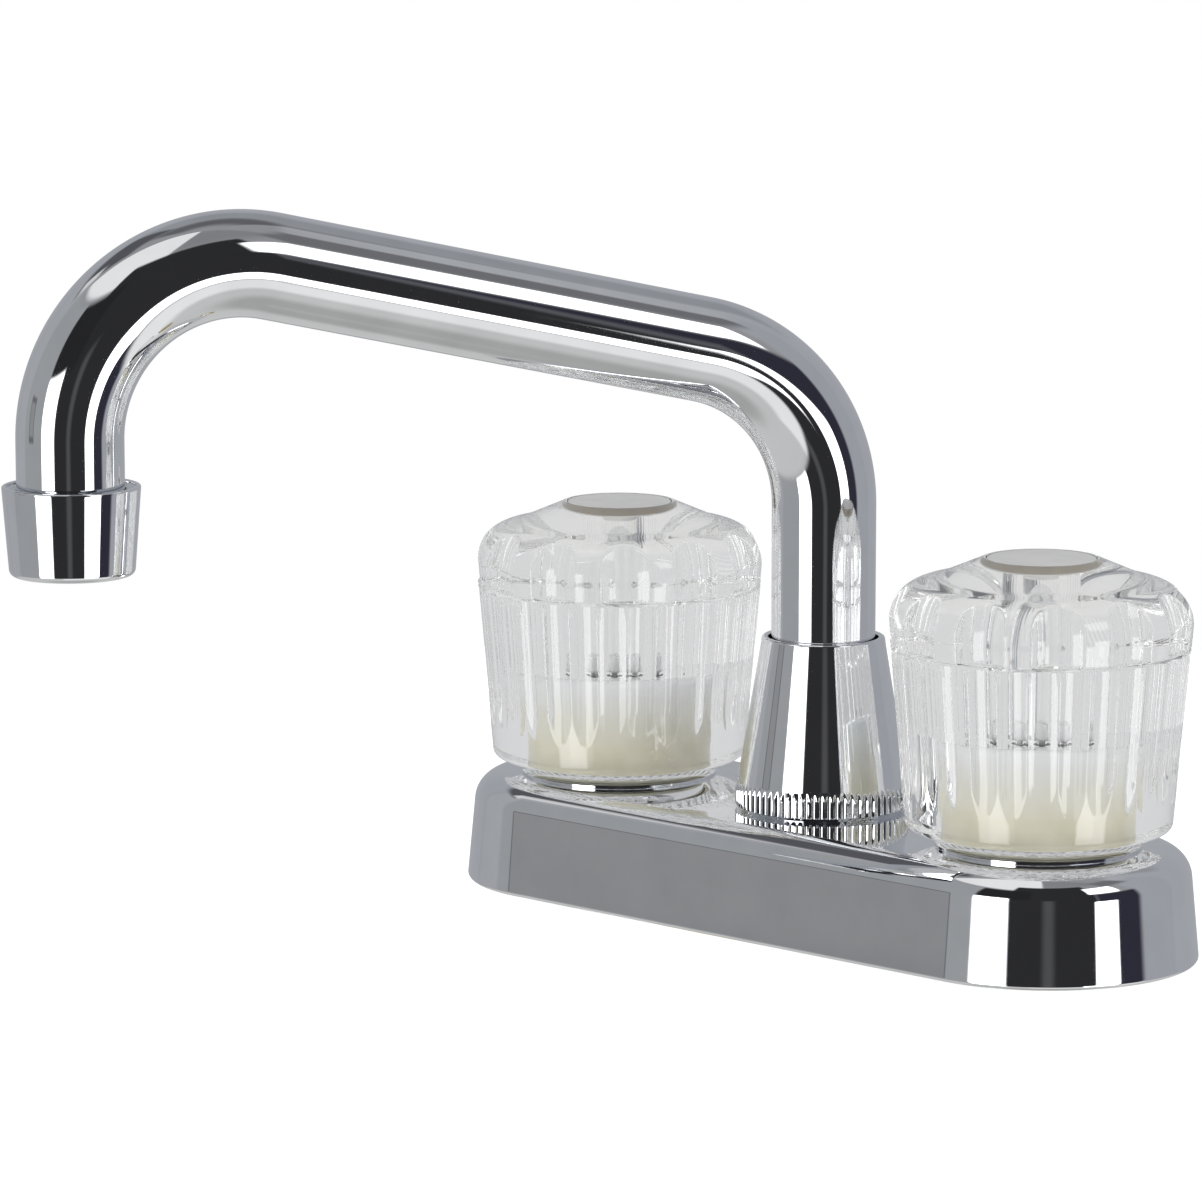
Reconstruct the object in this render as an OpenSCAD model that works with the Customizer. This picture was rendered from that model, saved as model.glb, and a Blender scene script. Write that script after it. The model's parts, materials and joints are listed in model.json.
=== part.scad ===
// Two-handle utility sink faucet with clear fluted knobs and a swinging tube spout.
// Origin: middle of the base on the sink deck. +Z up, -Y towards the user, hot side at -X.
// The spout is drawn as it stands swung to the hot side, and both valves are shut.

/* [Deck plate] */
// Distance between the two knob axes
handle_spacing = 101.6; // [95:0.2:120]
// Depth of the deck plate, front to back
plate_w = 56.2; // [52:0.2:66]
// How far the centre of each round end lies outboard of its knob axis
plate_overhang = 0.85; // [0:0.05:6]
// Height of the flat top above the deck
plate_h = 20.5; // [18:0.5:26]
// Wall of the shell
plate_wall = 2.2; // [1.6:0.1:3]
// Draft of the sides, in degrees
plate_draft = 5; // [2:0.5:8]
// Rounding of the top edge
plate_edge_r = 5.5; // [3.5:0.5:7]
// Thickness of the deck gasket
gasket_t = 1.6; // [1.2:0.1:3]

/* [Waterway] */
// Outer radius of each valve body
valve_r = 15; // [14.4:0.1:18]
// Outer radius of the threaded neck that the flange ring screws on
neck_r = 13.4; // [12.9:0.1:14]
// Radius of the valve chamber
chamber_r = 9.4; // [8.8:0.1:10.4]
// Height of the chamber floor above the deck
chamber_z = 6; // [5:0.25:7]
// Outer radius of the threaded inlet shanks
shank_r = 10.45; // [10:0.05:12]
// Bore radius of the inlet shanks
shank_bore_r = 6; // [5:0.25:7]
// Length of the shanks below the deck
shank_len = 52; // [46:1:70]
// Outer radius of the cross tube
cross_r = 7; // [6:0.25:7.5]
// Bore radius of the cross tube
cross_bore_r = 4; // [3:0.25:4.5]
// Height of the spout post above the top of the plate
post_rise = 13.5; // [12:0.5:15]
// Wall of the spout post
post_wall = 1.64; // [1.4:0.05:2.4]

/* [Flange rings] */
// Outer radius of the ring wall
ring_r = 16; // [15.2:0.1:16.6]
// Height of the ring above the plate
ring_h = 4; // [3.5:0.1:5]
// Radius of the hollow sweep at the foot of the ring
ring_sweep = 2.4; // [1.5:0.1:2.8]

/* [Valve inserts] */
// Length of the bonnet nut inside the neck
bonnet_len = 9; // [8:0.25:10]
// Radius of the bonnet nut thread
bonnet_r = 11.3; // [10.8:0.1:11.6]
// Width across the flats of the bonnet hexagon
bonnet_flats = 20; // [17:0.5:21]
// Height of the bonnet hexagon
bonnet_hex_h = 3.5; // [2.5:0.25:5]
// Radius of the stem shaft
stem_r = 5; // [4.4:0.1:5.6]
// Radius of the keyed stem end
key_r = 4.2; // [3.6:0.1:4.3]
// Width across the two flats of the keyed stem end
key_flats = 6.6; // [5.8:0.1:7]
// Outer radius of the rubber seat
seat_r = 3.4; // [3:0.1:3.6]
// Height of the rubber seat
seat_h = 5; // [4:0.25:5.5]
// Offset of the seat from the valve axis
seat_offset = 4.8; // [4:0.1:5]
// Wire radius of the seat spring
spring_wire_r = 0.3; // [0.25:0.05:0.4]
// Turns of the seat spring
spring_turns = 3; // [2:1:3]
// Section radius of the stem O-ring
stem_ring_r = 0.85; // [0.7:0.05:1]

/* [Knobs] */
// Largest radius of the knob
knob_r = 27; // [25.5:0.1:29]
// Radius at the foot of the knob
knob_foot_r = 23.9; // [22.5:0.1:24.4]
// Height of the knob
knob_h = 48; // [44:0.5:54]
// Clearance between the plate and the knob
knob_lift = 3.25; // [2.5:0.05:3.4]
// Height of the crown, from the widest ring to the top
crown_h = 12; // [11:0.25:14]
// Radius of the rounded shoulder
shoulder_r = 9.5; // [8:0.25:10]
// Height of the plain bead above the foot
step_h = 31.75; // [26:0.25:34]
// Number of flutes below the bead
flutes = 32; // [24:1:36]
// Number of scallops round the crown
scallops = 16; // [12:1:20]
// Depth of the crown scallops at the widest ring
scallop_depth = 1.6; // [1:0.1:2.2]
// Radius of the cream hub
hub_r = 17.1; // [16.8:0.1:18.5]
// Height of the cream hub
hub_h = 12.9; // [11:0.1:15]
// Thickness of the knob's web under the screw head
knob_web = 3.8; // [2.5:0.1:6]
// Radius of the index button
button_r = 11.3; // [10:0.1:12.5]
// Thickness of the index button
button_t = 2.2; // [1.6:0.1:3]
// Shank radius of the handle screw
screw_r = 1.95; // [1.5:0.05:2.2]
// Head radius of the handle screw
screw_head_r = 3.8; // [3.2:0.1:4.4]
// Length of the handle screw under its head
screw_len = 13; // [11:0.5:13.4]

/* [Spout] */
// Diameter of the spout tube
tube_d = 19.05; // [17:0.05:21]
// Wall of the spout tube
tube_wall = 1.2; // [0.8:0.1:1.6]
// Height at which the axes of riser and arm meet
spout_height = 100.8; // [92:0.2:130]
// Reach from the swivel axis to the outlet axis
spout_reach = 139.7; // [120:0.1:180]
// Climb of the arm, in degrees
spout_climb = 12.4; // [5:0.1:18]
// Centre-line radius of both bends
bend_r = 30; // [26:0.5:34]
// Swing of the spout from straight ahead to the hot side, in degrees
spout_swing = 30; // [0:1:60]
// Wall of the brass ferrule round the foot of the tube
ferrule_wall = 1.2; // [1:0.05:1.6]
// Section radius of the spout O-rings
spout_ring_r = 0.95; // [0.8:0.05:1.1]

/* [Spout nut] */
// Height of the nut
nut_h = 31.9; // [29:0.1:38]
// Wall of the nut at its foot
nut_wall = 3.4; // [3:0.1:4.5]
// Width of the rim round the tube
nut_rim = 1.2; // [0.8:0.1:2]
// Open gap between rim and tube
nut_gap = 0.57; // [0.4:0.01:0.9]
// Height of the knurled band
knurl_h = 4.3; // [3:0.1:6]
// Number of teeth in the knurled band
knurl_teeth = 72; // [48:1:90]

/* [Outlet] */
// Height of the outlet's lower edge above the deck
outlet_z = 70.2; // [60:0.2:80]
// Height of the aerator housing
housing_h = 15.9; // [14.5:0.1:20]
// Wall of the aerator housing at its top
housing_wall = 1.5; // [1.4:0.1:2.2]
// Taper of the aerator housing, top radius less bottom radius
housing_taper = 1.1; // [0.2:0.1:1.2]
// Wall of the nipple brazed on the end of the tube
nipple_wall = 1; // [0.8:0.1:1.4]

/* [Deck fixings] */
// Deck thickness that the nuts are set for
deck_t = 10.4; // [6:0.2:20]
// Radius of the mounting washers
washer_r = 19; // [17:0.5:22]
// Thickness of the mounting washers
washer_t = 1.6; // [1:0.1:3]
// Height of the mounting nuts
mount_nut_h = 11; // [9:0.5:14]

/* [Hidden] */
$fn = 96;

// Clearances: parts that stay together, a shaft in its bore, and moving faces
fit = 0.1;
run = 0.06;
gap = 0.3;
// Overshoot of a cut past the face it opens
cut = 1;

// Sides of the valves along X
HOT = -1;
COLD = 1;
valve_x = handle_spacing / 2;

// Levels of the base
plate_foot = 0.3;
plate_under = plate_h - plate_wall;
ring_top = plate_h + ring_h;
neck_top = ring_top - 0.6;
cross_z = gasket_t + cross_r + 1.4;

// Levels of the valve
bonnet_z = neck_top - bonnet_len;
bonnet_top = neck_top + bonnet_hex_h;
bonnet_hole_r = bonnet_r + fit;
barrel_r = chamber_r - gap;
barrel_z = chamber_z + gap;
barrel_top = bonnet_z - gap;
pocket_depth = 9;
pocket_z = chamber_z - pocket_depth;
pocket_r = seat_r + 0.2;
port_r = 2.2;
shank_bore_top = pocket_z - 2;
seat_top = chamber_z;
seat_z = seat_top - seat_h;
spring_z = pocket_z + 0.05;
spring_h = seat_z - 0.05 - spring_z;
spring_r = seat_r - 1;

// Levels of the knob and its hub
knob_z = plate_h + knob_lift;
knob_top = knob_z + knob_h;
hub_z = ring_top + 0.8;
hub_top = hub_z + hub_h;
hub_recess_r = ring_r - 1.8;
hub_recess_top = bonnet_top + 1;
hub_web = 1.6;
key_top = hub_top - hub_web - 0.4;
head_z = hub_top + knob_web;
well_r = screw_head_r + 1.7;
button_z = knob_top - button_t;
widest_z = knob_h - crown_h;

// Spout: radii from the tube outwards, then levels
tube_r = tube_d / 2;
ferrule_r = tube_r + fit + ferrule_wall;
post_bore_r = ferrule_r + run;
post_r = post_bore_r + post_wall;
nut_bore_r = post_r + fit;
nut_r = nut_bore_r + nut_wall;
nut_hole_r = tube_r + nut_gap;
nut_top_r = nut_hole_r + nut_rim;
nipple_r = tube_r + fit + nipple_wall;
housing_bore_r = nipple_r + fit;
housing_r = housing_bore_r + housing_wall;

post_floor = gasket_t + 3;
post_top = plate_h + post_rise;
flange_z = post_top + gap;
flange_t = 2;
flange_r = post_r - 0.4;
slip_z = flange_z + flange_t + gap;
slip_t = 1.4;
nut_top = plate_h + nut_h;
// The ferrule hangs from the top of the post and stays clear of the cross bore
ferrule_len = 19.8;
spigot_len = 10.5;
ferrule_z = max(flange_z - ferrule_len, cross_z + cross_bore_r + 0.5);
socket_z = ferrule_z + spigot_len;
o_ring_levels = [ferrule_z + 3, ferrule_z + 7];

bend_thinning = 0.1;
lap = 0.1;
riser_tangent = bend_r * tan((90 - spout_climb) / 2);
tip_tangent = bend_r * tan((90 + spout_climb) / 2);
riser_end = spout_height - riser_tangent;
arm_start = [bend_r * (1 - sin(spout_climb)), riser_end + bend_r * cos(spout_climb)];
arm_len = spout_reach / cos(spout_climb) - riser_tangent - tip_tangent;
tip_centre_z = arm_start[1] + arm_len * sin(spout_climb) - bend_r * cos(spout_climb);

// Levels of the aerator, from the outlet upwards
lip_t = 3;
insert_z = outlet_z + lip_t;
insert_flange_t = 3;
screen_z = insert_z + insert_flange_t;
screen_t = 0.6;
aerator_washer_z = screen_z + screen_t;
aerator_washer_t = 1.9;
tube_end = aerator_washer_z + aerator_washer_t;
housing_top = outlet_z + housing_h;
nipple_top = housing_top - 1.2;
spray_r = housing_bore_r - 1.9;

// Below the deck: washer, then the groove that ends the thread of the mounting nut
washer_z = -deck_t - washer_t;
groove_z = washer_z - mount_nut_h - 2;
groove_h = 1.2;
groove_depth = 0.6;

// Shapes used by several pieces
module ring(r_out, r_in, z, h) {
    translate([0, 0, z])
        difference() {
            cylinder(r = r_out, h = h);
            translate([0, 0, -cut])
                cylinder(r = r_in, h = h + 2 * cut);
        }
}

module rod(r, z, top) {
    translate([0, 0, z])
        cylinder(r = r, h = top - z);
}

module o_ring(r_out, section, z) {
    translate([0, 0, z])
        rotate_extrude()
            translate([r_out - section, 0])
                circle(r = section, $fn = 24);
}

// A piece drawn on the Z axis for the hot side; the cold side is its mirror image
module at_valve(side) {
    translate([side * valve_x, 0, 0])
        mirror([side == COLD ? 1 : 0, 0, 0])
            children();
}

// Local X of the spout points from the swivel to the outlet
module on_spout() {
    rotate([0, 0, -90 - spout_swing])
        children();
}

module at_outlet() {
    on_spout()
        translate([spout_reach, 0, 0])
            children();
}

// Deck plate: one section swept straight and turned round at both ends
module plate_half_section(half_w, foot, top, edge) {
    slope = tan(plate_draft);
    edge_x = half_w - (top - edge) * slope - edge / cos(plate_draft);
    edge_z = top - edge;
    union() {
        polygon([
            [0, foot],
            [half_w - foot * slope, foot],
            [edge_x + edge * cos(plate_draft), edge_z + edge * sin(plate_draft)],
            [edge_x, edge_z],
            [edge_x, top],
            [0, top]
        ]);
        translate([edge_x, edge_z])
            circle(r = edge);
    }
}

module plate_form(half_w, foot, top, edge) {
    end_x = valve_x + plate_overhang;
    for (side = [-1, 1])
        translate([side * end_x, 0, 0])
            rotate_extrude()
                intersection() {
                    plate_half_section(half_w, foot, top, edge);
                    translate([0, foot])
                        square([half_w + top, top - foot]);
                }
    translate([-end_x, 0, 0])
        rotate([90, 0, 90])
            linear_extrude(height = 2 * end_x)
                for (turn = [0, 1])
                    mirror([turn, 0])
                        plate_half_section(half_w, foot, top, edge);
}

module deck_plate() {
    inner_edge = plate_edge_r - plate_wall;
    color("gainsboro")
        difference() {
            plate_form(plate_w / 2, plate_foot, plate_h, plate_edge_r);
            plate_form(plate_w / 2 - plate_wall, plate_foot - cut, plate_under, inner_edge);
            for (side = [HOT, COLD])
                at_valve(side)
                    rod(neck_r + gap, plate_under - cut, plate_h + cut);
            rod(post_r + gap, plate_under - cut, plate_h + cut);
        }
}

module deck_gasket() {
    rim = plate_wall + 0.5;
    color("whitesmoke")
        difference() {
            linear_extrude(height = gasket_t) {
                square([2 * (valve_x + plate_overhang), plate_w - 2 * rim], center = true);
                for (side = [-1, 1])
                    translate([side * (valve_x + plate_overhang), 0])
                        circle(d = plate_w - 2 * rim);
            }
            for (side = [HOT, COLD])
                at_valve(side)
                    rod(shank_r + gap, -cut, gasket_t + cut);
        }
}

// Brass body: valve bodies, shanks, cross tube and spout post in one casting
module waterway() {
    color("darkgoldenrod")
        difference() {
            union() {
                for (side = [HOT, COLD])
                    at_valve(side) {
                        rod(valve_r, gasket_t, plate_under);
                        rod(neck_r, plate_under, neck_top);
                        rod(shank_r, -shank_len, gasket_t);
                    }
                rod(post_r, gasket_t, post_top);
                translate([-valve_x, 0, cross_z])
                    rotate([0, 90, 0])
                        cylinder(r = cross_r, h = handle_spacing);
            }
            for (side = [HOT, COLD])
                at_valve(side) {
                    rod(chamber_r, chamber_z, bonnet_z + cut);
                    rod(bonnet_hole_r, bonnet_z, neck_top + cut);
                    rod(shank_bore_r, -shank_len - cut, shank_bore_top);
                    ring(shank_r + cut, shank_r - groove_depth, groove_z, groove_h);
                    translate([seat_offset, 0, 0]) {
                        rod(pocket_r, pocket_z, chamber_z + cut);
                        rod(port_r, shank_bore_top - cut, pocket_z + cut);
                    }
                }
            rod(post_bore_r, post_floor, post_top + cut);
            translate([-valve_x, 0, cross_z])
                rotate([0, 90, 0])
                    cylinder(r = cross_bore_r, h = handle_spacing);
        }
}

module mounting_washers() {
    color("silver")
        for (side = [HOT, COLD])
            at_valve(side)
                ring(washer_r, shank_r + gap, washer_z, washer_t);
}

// Wing nuts that draw the deck plate down from below
module mounting_nuts() {
    collar_h = 3;
    body_wall = 4;
    body_r = shank_r + body_wall;
    wing_w = 5;
    wing_reach = washer_r + 3;
    color("ivory")
        for (side = [HOT, COLD])
            at_valve(side)
                translate([0, 0, washer_z - mount_nut_h])
                    difference() {
                        union() {
                            cylinder(r = body_r, h = mount_nut_h);
                            translate([0, 0, mount_nut_h - collar_h])
                                cylinder(r = washer_r - 1.5, h = collar_h);
                            for (turn = [0, 90])
                                rotate([0, 0, turn])
                                    translate([-wing_reach, -wing_w / 2, 0])
                                        cube([2 * wing_reach, wing_w, mount_nut_h]);
                        }
                        translate([0, 0, -cut])
                            cylinder(r = shank_r + fit, h = mount_nut_h + 2 * cut);
                    }
}

// Conical nut: knurled foot, straight cone, thin rim round the tube
module spout_nut() {
    valley_r = nut_r - 0.55;
    core_r = valley_r - 0.15;
    foot_chamfer = 0.7;
    rim_round = 0.5;
    color("gainsboro")
        difference() {
            union() {
                translate([0, 0, plate_h + foot_chamfer])
                    linear_extrude(height = knurl_h)
                        polygon([
                            for (i = [0 : 2 * knurl_teeth - 1])
                                let (r = i % 2 == 0 ? nut_r : valley_r, a = 180 * i / knurl_teeth)
                                    [r * cos(a), r * sin(a)]
                        ]);
                rotate_extrude()
                    polygon([
                        [0, plate_h],
                        [core_r - foot_chamfer, plate_h],
                        [core_r, plate_h + foot_chamfer],
                        [core_r, plate_h + foot_chamfer + knurl_h],
                        [nut_top_r, nut_top - rim_round],
                        [nut_top_r - rim_round, nut_top],
                        [0, nut_top]
                    ]);
            }
            rod(nut_bore_r, plate_h - cut, slip_z + slip_t);
            rod(nut_hole_r, slip_z, nut_top + cut);
        }
}

module slip_washer() {
    color("white")
        ring(nut_bore_r - fit, nut_hole_r, slip_z, slip_t);
}

// Flange ring: upright wall with a hollow sweep down to the plate
module flange_ring(side) {
    bead = 0.5;
    foot_t = 0.5;
    foot_r = ring_r + ring_sweep;
    color("gainsboro")
        at_valve(side)
            rotate_extrude()
                translate([0, plate_h])
                    difference() {
                        polygon([
                            [neck_r + fit, 0],
                            [foot_r, 0],
                            [foot_r, foot_t],
                            [ring_r, foot_t + ring_sweep],
                            [ring_r, ring_h - bead],
                            [ring_r - bead, ring_h],
                            [neck_r + fit, ring_h]
                        ]);
                        translate([foot_r, foot_t + ring_sweep])
                            circle(r = ring_sweep);
                    }
}

module bonnet(side) {
    color("goldenrod")
        at_valve(side)
            difference() {
                union() {
                    rod(bonnet_r, bonnet_z, neck_top);
                    translate([0, 0, neck_top])
                        cylinder(r = bonnet_flats / sqrt(3), h = bonnet_hex_h, $fn = 6);
                }
                rod(stem_r + run, bonnet_z - cut, bonnet_top + cut);
            }
}

module seat(side) {
    bore_r = seat_r / 2;
    color("dimgray")
        at_valve(side)
            translate([seat_offset, 0, 0])
                ring(seat_r, bore_r, seat_z, seat_h);
}

// Seat spring: one round wire swept along a helix
spring_rings = 8;
spring_sides = 6;
spring_steps = spring_turns * spring_rings;
spring_climb = spring_h - 2 * spring_wire_r;

function spring_axis(i) =
    let (a = 360 * i / spring_rings)
    [spring_r * cos(a), spring_r * sin(a), spring_z + spring_wire_r + spring_climb * i / spring_steps];

function spring_point(i, j) =
    let (a = 360 * i / spring_rings, b = 360 * j / spring_sides, out = spring_wire_r * cos(b))
    spring_axis(i) + [out * cos(a), out * sin(a), spring_wire_r * sin(b)];

spring_points = [
    for (i = [0 : spring_steps])
        for (j = [0 : spring_sides - 1])
            spring_point(i, j)
];

spring_faces = [
    for (i = [0 : spring_steps - 1])
        for (j = [0 : spring_sides - 1])
            let (k = (j + 1) % spring_sides, a = i * spring_sides, b = a + spring_sides)
                each [[a + j, b + j, b + k], [a + j, b + k, a + k]],
    for (j = [1 : spring_sides - 2])
        each [[0, j, j + 1],
              [spring_steps * spring_sides, spring_steps * spring_sides + j + 1,
               spring_steps * spring_sides + j]]
];

spring_self_gap = min([
    for (i = [0 : spring_steps - spring_rings + 1])
        for (j = [i + spring_rings - 1 : spring_steps])
            norm(spring_axis(j) - spring_axis(i)) - 2 * spring_wire_r
]);
echo(spring_self_gap = spring_self_gap);

module seat_spring(side) {
    color("lightsteelblue")
        at_valve(side)
            translate([seat_offset, 0, 0])
                polyhedron(points = spring_points, faces = spring_faces);
}

// Spout tube: riser, bend, climbing arm, bend and straight outlet.
// The wall draws a little thinner in the bends, and each straight laps into its bend.
module spout_path(r, bend_section_r, foot, end) {
    rod(r, foot, riser_end + lap);
    translate([bend_r, 0, riser_end])
        rotate([90, 0, 0])
            rotate([0, 0, 90 + spout_climb])
                rotate_extrude(angle = 90 - spout_climb)
                    translate([bend_r, 0])
                        circle(r = bend_section_r);
    translate([arm_start[0], 0, arm_start[1]])
        rotate([0, 90 - spout_climb, 0])
            translate([0, 0, -lap])
                cylinder(r = r, h = arm_len + 2 * lap);
    translate([spout_reach - bend_r, 0, tip_centre_z])
        rotate([90, 0, 0])
            rotate_extrude(angle = 90 + spout_climb)
                translate([bend_r, 0])
                    circle(r = bend_section_r);
    translate([spout_reach, 0, 0])
        rod(r, end, tip_centre_z + lap);
}

module spout_tube() {
    bore_r = tube_r - tube_wall;
    color("gainsboro")
        on_spout()
            difference() {
                spout_path(tube_r, tube_r - bend_thinning, socket_z, tube_end);
                spout_path(bore_r, bore_r + bend_thinning, socket_z - cut, tube_end - cut);
            }
}

// Ferrule: spigot with two O-ring grooves, socket for the tube and a thrust flange
module spout_ferrule() {
    groove_w = 2 * spout_ring_r + 0.3;
    color("goldenrod")
        difference() {
            union() {
                rod(ferrule_r, ferrule_z, flange_z);
                rod(flange_r, flange_z, flange_z + flange_t);
            }
            rod(tube_r - tube_wall, ferrule_z - cut, socket_z + cut);
            rod(tube_r + fit, socket_z, flange_z + flange_t + cut);
            for (z = o_ring_levels)
                ring(ferrule_r + cut, ferrule_r - 2 * spout_ring_r, z - groove_w / 2, groove_w);
        }
}

module spout_o_rings() {
    color("dimgray")
        for (z = o_ring_levels)
            o_ring(ferrule_r, spout_ring_r, z);
}

module outlet_nipple() {
    color("gainsboro")
        at_outlet()
            ring(nipple_r, tube_r + fit, tube_end, nipple_top - tube_end);
}

// Aerator housing: tapered cup with an open rim above and an inner lip below
module aerator_housing() {
    edge = 1.2;
    mouth = 0.7;
    foot_r = housing_r - housing_taper;
    color("gainsboro")
        at_outlet()
            difference() {
                translate([0, 0, outlet_z])
                    rotate_extrude()
                        union() {
                            polygon([
                                [0, 0],
                                [foot_r - edge, 0],
                                [foot_r - edge, edge],
                                [foot_r, edge],
                                [housing_r, housing_h - mouth],
                                [housing_r - mouth / 2, housing_h],
                                [0, housing_h]
                            ]);
                            translate([foot_r - edge, edge])
                                circle(r = edge);
                        }
                rod(housing_bore_r, insert_z, housing_top + cut);
                rod(housing_bore_r + mouth, nipple_top, housing_top + cut);
                rod(spray_r, outlet_z - cut, insert_z + cut);
            }
}

module aerator_washer() {
    color("dimgray")
        at_outlet()
            ring(nipple_r, tube_r - tube_wall, aerator_washer_z, aerator_washer_t);
}

// Places on a disc: a middle hole and rings of six, twelve and so on
function rosette(rings, pitch) = [
    [0, 0],
    for (k = [1 : rings])
        for (i = [0 : 6 * k - 1])
            [k * pitch * cos(60 * i / k), k * pitch * sin(60 * i / k)]
];

module aerator_screen() {
    mesh_rings = 3;
    mesh_pitch = (nipple_r - 3) / (mesh_rings + 0.5);
    color("silver")
        at_outlet()
            translate([0, 0, screen_z])
                difference() {
                    cylinder(r = nipple_r, h = screen_t);
                    for (p = rosette(mesh_rings, mesh_pitch))
                        translate([p[0], p[1], -cut])
                            cylinder(r = mesh_pitch * 0.36, h = screen_t + 2 * cut, $fn = 24);
                }
}

module aerator_insert() {
    jet_rings = 2;
    nose_r = spray_r - fit;
    jet_pitch = nose_r / (jet_rings + 0.7);
    nose_z = outlet_z + 0.6;
    color("white")
        at_outlet()
            difference() {
                union() {
                    rod(nipple_r, insert_z, screen_z);
                    rod(nose_r, nose_z, insert_z);
                }
                for (p = rosette(jet_rings, jet_pitch))
                    translate([p[0], p[1], 0])
                        rod(jet_pitch * 0.34, nose_z - cut, screen_z + cut);
            }
}

// Clear knob: turned outline, crown scallops above a plain bead and flutes below it
module knob_section() {
    foot_round = 1.5;
    neck_r_top = button_r + 1.1;
    shoulder_x = knob_r - shoulder_r;
    union() {
        polygon([
            [0, 0],
            [knob_foot_r - foot_round, 0],
            [knob_foot_r, foot_round],
            [knob_r, widest_z],
            [shoulder_x, widest_z],
            [shoulder_x, widest_z + shoulder_r],
            [neck_r_top, knob_h],
            [0, knob_h]
        ]);
        translate([shoulder_x, widest_z])
            circle(r = shoulder_r);
    }
}

module knob(side) {
    bead = 0.8;
    flute_root = knob_foot_r + 0.5;
    flute_r = knob_r * sin(180 / flutes) * 0.97;
    flute_sides = 12;
    scallop_root = knob_r - scallop_depth;
    scallop_r = knob_r * sin(180 / scallops) * 1.14;
    color("azure", 0.5)
        at_valve(side)
            difference() {
                translate([0, 0, knob_z])
                    rotate_extrude()
                        intersection() {
                            knob_section();
                            square([knob_r + cut, knob_h]);
                        }
                for (i = [0 : flutes - 1])
                    rotate([0, 0, 360 * (i + 0.5) / flutes])
                        translate([flute_root + flute_r, 0, knob_z - cut])
                            cylinder(r = flute_r, h = step_h - bead / 2 + cut, $fn = flute_sides);
                for (i = [0 : scallops - 1])
                    rotate([0, 0, 360 * i / scallops])
                        translate([scallop_root + scallop_r, 0, 0])
                            rod(scallop_r, knob_z + step_h + bead / 2, knob_top + cut);
                rod(hub_r + fit, knob_z - cut, hub_top);
                rod(screw_r + gap, hub_top - cut, head_z + cut);
                rod(well_r, head_z, knob_top);
                rod(button_r + fit, button_z, knob_top + cut);
            }
}

// The keyed end: a round bar with two flats
module key_bar(r, flats, z, top) {
    intersection() {
        rod(r, z, top);
        translate([-r, -flats / 2, z])
            cube([2 * r, flats, top - z]);
    }
}

module knob_hub(side) {
    color("cornsilk")
        at_valve(side)
            difference() {
                rod(hub_r, hub_z, hub_top);
                rod(hub_recess_r, hub_z - cut, hub_recess_top);
                key_bar(key_r + fit, key_flats + 2 * fit, hub_recess_top - cut, key_top + 0.2);
                rod(screw_r + gap, key_top, hub_top + cut);
            }
}

// Quarter-turn stem: ported barrel below, shaft through the bonnet, keyed end above
module stem(side) {
    barrel_floor = 2.2;
    barrel_roof = 1.8;
    barrel_wall = 1.6;
    groove_w = 2 * stem_ring_r + 0.3;
    thread_z = hub_recess_top - 0.4;
    color("khaki")
        at_valve(side)
            difference() {
                union() {
                    rod(barrel_r, barrel_z, barrel_top);
                    rod(stem_r, barrel_top, hub_recess_top - 0.2);
                    key_bar(key_r, key_flats, hub_recess_top - 0.2, key_top);
                }
                rod(barrel_r - barrel_wall, barrel_z + barrel_floor, barrel_top - barrel_roof);
                translate([-barrel_r - cut, -cross_bore_r, barrel_z + barrel_floor])
                    cube([2 * (barrel_r + cut), 2 * cross_bore_r,
                          barrel_top - barrel_z - barrel_floor - barrel_roof]);
                rotate([0, 0, -90])
                    translate([seat_offset, 0, 0])
                        rod(seat_r - 0.6, barrel_z - cut, barrel_z + barrel_floor + cut);
                ring(stem_r + cut, stem_r - 2 * stem_ring_r, stem_ring_z - groove_w / 2, groove_w);
                rod(screw_r + 0.05, thread_z, key_top + cut);
            }
}

stem_ring_z = bonnet_z + bonnet_len / 2;

module stem_o_ring(side) {
    color("dimgray")
        at_valve(side)
            o_ring(stem_r, stem_ring_r, stem_ring_z);
}

// Pan-head handle screw with a driver slot
module screw(side) {
    head_h = 2.6;
    slot_w = 0.9;
    slot_depth = 1.2;
    color("silver")
        at_valve(side)
            difference() {
                union() {
                    rod(screw_r, head_z - screw_len, head_z);
                    rod(screw_head_r, head_z, head_z + head_h);
                }
                translate([-screw_head_r - cut, -slot_w / 2, head_z + head_h - slot_depth])
                    cube([2 * (screw_head_r + cut), slot_w, slot_depth + cut]);
            }
}

// Index button: disc with a snap skirt that enters the screw well
module index_button(side) {
    skirt_h = 5;
    skirt_wall = 1;
    skirt_r = well_r - 0.15;
    color("lightgray")
        at_valve(side)
            union() {
                rod(button_r, button_z, knob_top);
                ring(skirt_r, skirt_r - skirt_wall, button_z - skirt_h, skirt_h);
            }
}

deck_plate();
deck_gasket();
waterway();
mounting_washers();
mounting_nuts();
spout_nut();
slip_washer();
flange_ring(HOT);  // hot_flange_ring
flange_ring(COLD);  // cold_flange_ring
bonnet(HOT);  // hot_bonnet
bonnet(COLD);  // cold_bonnet
seat(HOT);  // hot_seat
seat(COLD);  // cold_seat
seat_spring(HOT);  // hot_seat_spring
seat_spring(COLD);  // cold_seat_spring
spout_tube();
spout_ferrule();
spout_o_rings();
outlet_nipple();
aerator_housing();
aerator_washer();
aerator_screen();
aerator_insert();
knob(HOT);  // hot_knob
knob(COLD);  // cold_knob
knob_hub(HOT);  // hot_knob_hub
knob_hub(COLD);  // cold_knob_hub
stem(HOT);  // hot_stem
stem(COLD);  // cold_stem
stem_o_ring(HOT);  // hot_stem_o_ring
stem_o_ring(COLD);  // cold_stem_o_ring
screw(HOT);  // hot_screw
screw(COLD);  // cold_screw
index_button(HOT);  // hot_index_button
index_button(COLD);  // cold_index_button
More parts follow.
